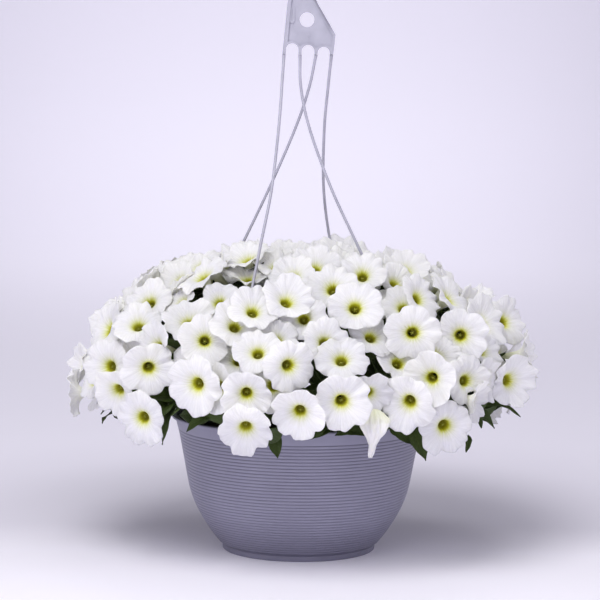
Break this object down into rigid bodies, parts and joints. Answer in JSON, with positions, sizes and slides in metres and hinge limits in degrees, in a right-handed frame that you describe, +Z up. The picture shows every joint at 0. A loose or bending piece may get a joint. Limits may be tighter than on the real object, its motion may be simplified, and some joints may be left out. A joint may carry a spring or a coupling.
{
  "type": "petunia hanging basket",
  "caption": "Round ribbed plastic hanging basket on its foot, planted with a dense mound of white petunias, with a moulded strand hanger that ends in a hook.",
  "frame": {"origin": "centre of the underside of the bowl's foot", "axes": "+Z up through the bowl to the hook, -Y towards the front of the basket, +X to the right of a person who looks at the front"},
  "size_m": [0.5762, 0.5768, 0.7501],
  "materials": {
    "pot_plastic": "satin grey-lavender moulded polypropylene with fine ribs",
    "potting_mix": null,
    "hanger_plastic": "smooth pale grey-lavender moulded plastic",
    "foliage": null,
    "petal": null
  },
  "bodies": {
    "root": {"bloom_01": "petal", "bloom_02": "petal", "bloom_03": "petal", "bloom_04": "petal", "bloom_05": "petal", "bloom_06": "petal", "bloom_07": "petal", "bloom_08": "petal", "bloom_09": "petal", "bloom_10": "petal", "bloom_11": "petal", "bloom_12": "petal", "bloom_13": "petal", "bloom_14": "petal", "bloom_15": "petal", "bloom_16": "petal", "bloom_17": "petal", "bloom_18": "petal", "bloom_19": "petal", "bloom_20": "petal", "bloom_21": "petal", "bloom_22": "petal", "bloom_23": "petal", "bloom_24": "petal", "bloom_25": "petal", "bloom_26": "petal", "bloom_27": "petal", "bloom_28": "petal", "bloom_29": "petal", "bloom_30": "petal", "bloom_31": "petal", "bloom_32": "petal", "bloom_33": "petal", "bloom_34": "petal", "bloom_35": "petal", "bloom_36": "petal", "bloom_37": "petal", "hanger_hook": "hanger_plastic", "plant_a_shoot_1": "foliage", "plant_a_shoot_2": "foliage", "plant_a_shoot_3": "foliage", "plant_a_shoot_4": "foliage", "plant_b_shoot_1": "foliage", "plant_b_shoot_2": "foliage", "plant_b_shoot_3": "foliage", "plant_b_shoot_4": "foliage", "plant_c_shoot_1": "foliage", "plant_c_shoot_2": "foliage", "plant_c_shoot_3": "foliage", "plant_c_shoot_4": "foliage", "plant_d_shoot_1": "foliage", "plant_d_shoot_2": "foliage", "plant_d_shoot_3": "foliage", "plant_d_shoot_4": "foliage", "pot": "pot_plastic", "potting_mix": "potting_mix", "strand_front_left": "hanger_plastic", "strand_front_right": "hanger_plastic", "strand_rear_left": "hanger_plastic", "strand_rear_right": "hanger_plastic"}
  },
  "joints": []
}
